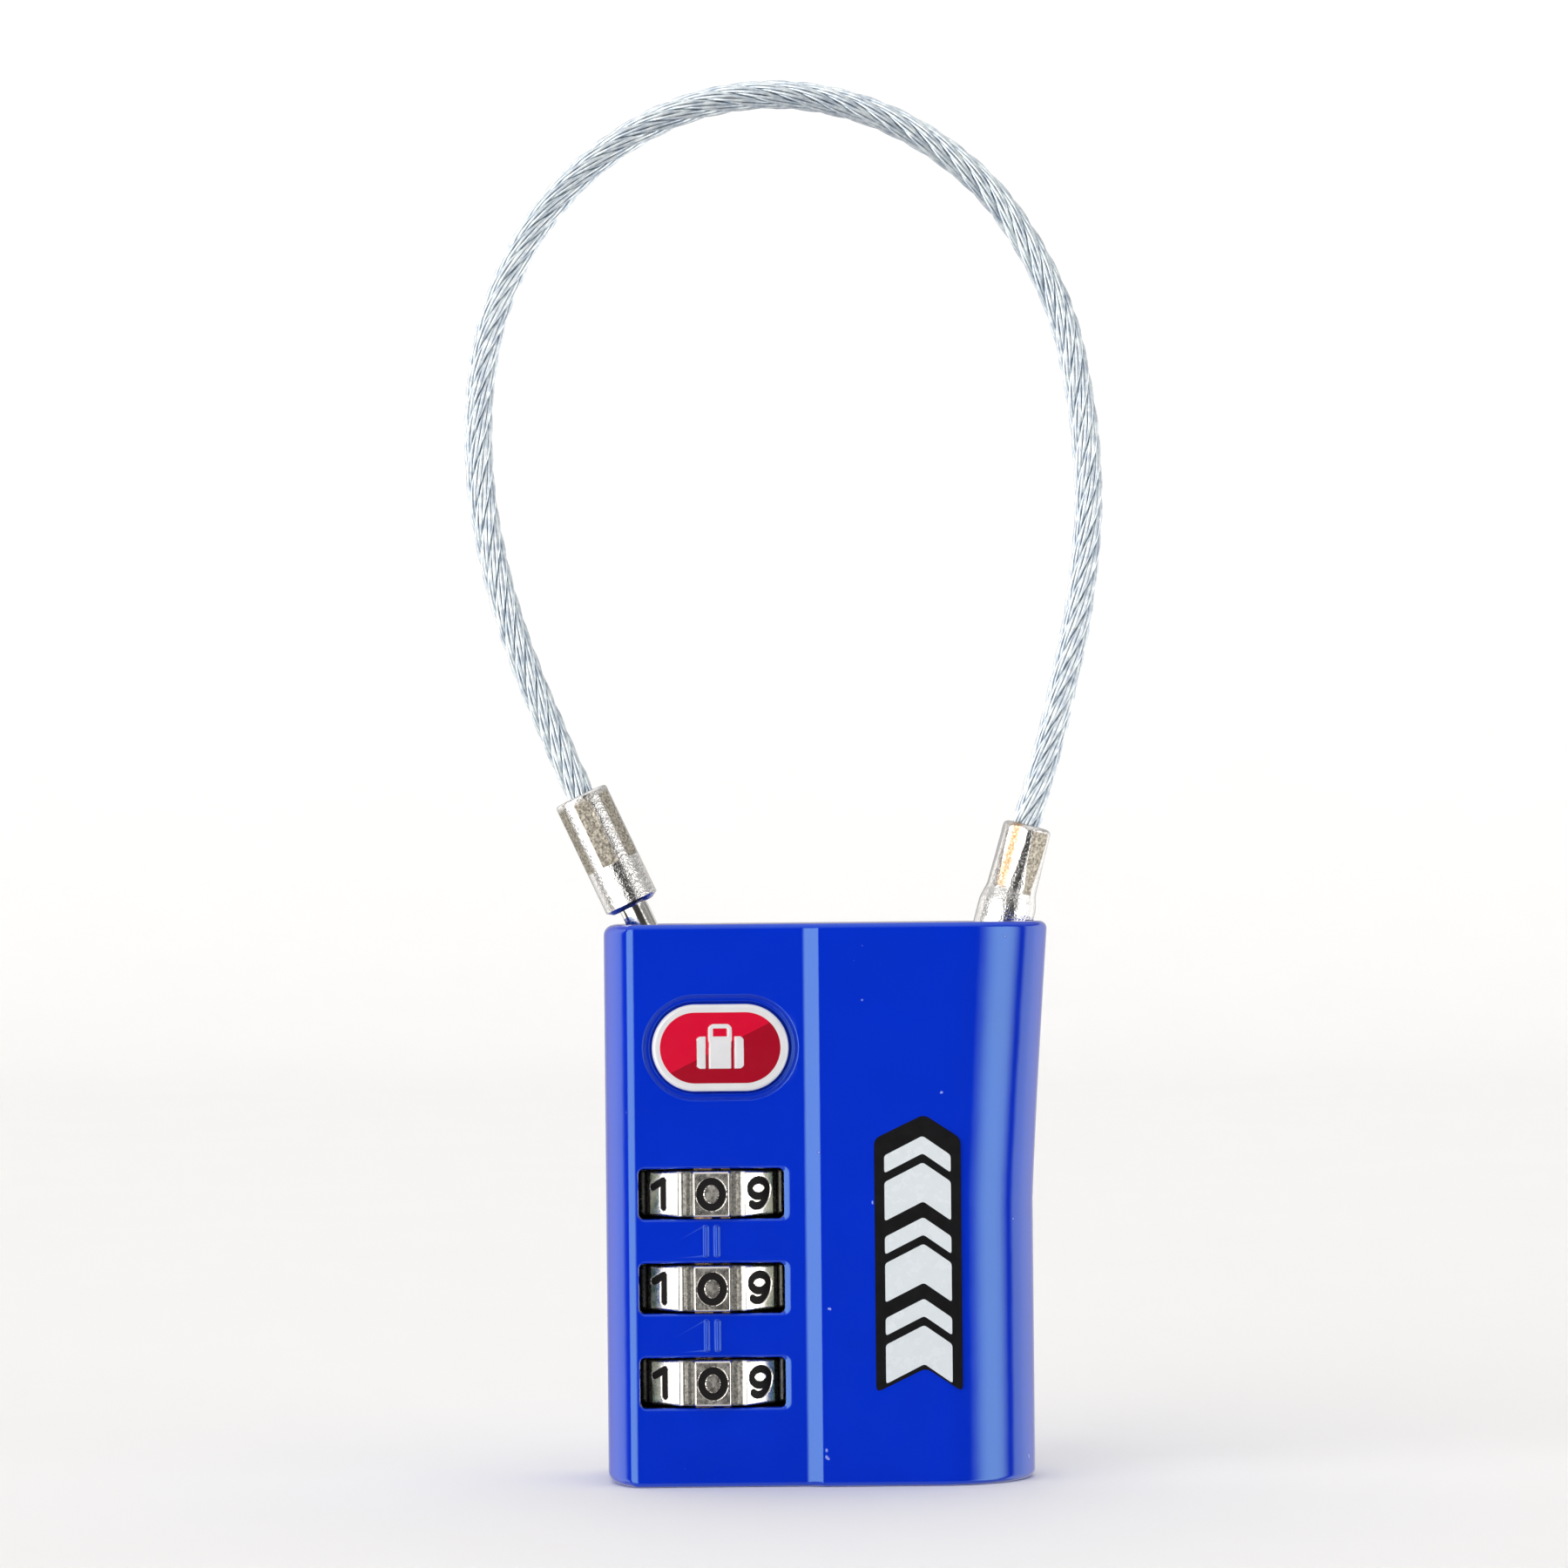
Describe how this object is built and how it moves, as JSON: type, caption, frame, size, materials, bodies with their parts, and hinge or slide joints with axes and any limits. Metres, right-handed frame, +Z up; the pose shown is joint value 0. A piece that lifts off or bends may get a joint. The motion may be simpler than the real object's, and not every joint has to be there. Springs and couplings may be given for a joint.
{
  "type": "luggage combination padlock",
  "caption": "Blue metal luggage padlock with numbered combination dials, a key bypass in its base and a wire rope loop that pulls out at one end.",
  "frame": {"origin": "centre of the flat base, where the case stands on a table", "axes": "+Z up along the case towards the rope loop, -Y out of the face with the dials, +X towards the rounded side with the captive end of the rope"},
  "size_m": [0.0486, 0.0138, 0.1059],
  "materials": {
    "paint": "gloss",
    "nickel": "polished",
    "steel": "satin",
    "brass": "satin",
    "spring": "satin",
    "enamel": "gloss enamel",
    "rope": "bright stranded wire"
  },
  "bodies": {
    "case": {"front_case": "paint", "back_cover": "paint", "cover_screw_1": "nickel", "cover_screw_2": "nickel", "cover_screw_3": "nickel", "cover_screw_4": "nickel", "badge_plate": "enamel", "spindle_bush": "brass", "spindle_spring": "spring", "latch_spring": "spring", "reset_spring": "spring", "detent_spring": "spring", "key_cylinder": "brass", "anchor_ferrule": "nickel", "anchor_pin": "steel", "cable_rope": "rope"},
    "dial_low": {"dial_1": "nickel", "clutch_sleeve_1": "brass"},
    "dial_middle": {"dial_2": "nickel", "clutch_sleeve_2": "brass"},
    "dial_high": {"dial_3": "nickel", "clutch_sleeve_3": "brass"},
    "spindle": {"lock_spindle": "steel"},
    "slider": {"latch_slider": "steel"},
    "plug": {"key_plug": "nickel", "wafer_1": "brass", "wafer_2": "brass", "wafer_3": "brass", "wafer_4": "brass", "wafer_5": "brass", "plug_cam": "steel", "plug_clip": "spring"},
    "reset": {"reset_button": "brass", "reset_fork": "steel"},
    "rope_end": {"latch_pin": "steel", "latch_ferrule": "nickel"}
  },
  "joints": [
    {"name": "dial_low_turn", "type": "hinge", "parent": "case", "child": "dial_low", "pos_m": [-0.00813, -0.00097, 0.0078], "axis": [0, 0, 1], "continuous": true},
    {"name": "dial_middle_turn", "type": "hinge", "parent": "case", "child": "dial_middle", "pos_m": [-0.00813, -0.00097, 0.01485], "axis": [0, 0, 1], "continuous": true},
    {"name": "dial_high_turn", "type": "hinge", "parent": "case", "child": "dial_high", "pos_m": [-0.00813, -0.00097, 0.0219], "axis": [0, 0, 1], "continuous": true},
    {"name": "slider_slide", "type": "slide", "parent": "case", "child": "slider", "axis": [1, 0, 0], "range_m": [-0.002, 0], "stiffness_N_per_m": 300, "deforming": ["latch_spring"]},
    {"name": "spindle_slide", "type": "slide", "parent": "case", "child": "spindle", "axis": [0, 0, 1], "range_m": [-0.002, 0], "deforming": ["spindle_spring"]},
    {"name": "key_turn", "type": "hinge", "parent": "case", "child": "plug", "pos_m": [0.00838, 0, 0.008], "axis": [0, 0, 1], "range_deg": [0, 90]},
    {"name": "reset_press", "type": "slide", "parent": "case", "child": "reset", "axis": [0, 0, 1], "range_m": [0, 0.0012], "stiffness_N_per_m": 400, "deforming": ["reset_spring"]},
    {"name": "latch_pull", "type": "slide", "parent": "case", "child": "rope_end", "axis": [0, 0, 1], "range_m": [0, 0.012], "deforming": ["cable_rope"]}
  ],
  "couplings": [
    {"joint": "spindle_slide", "follows": "slider_slide", "ratio": 1}
  ]
}
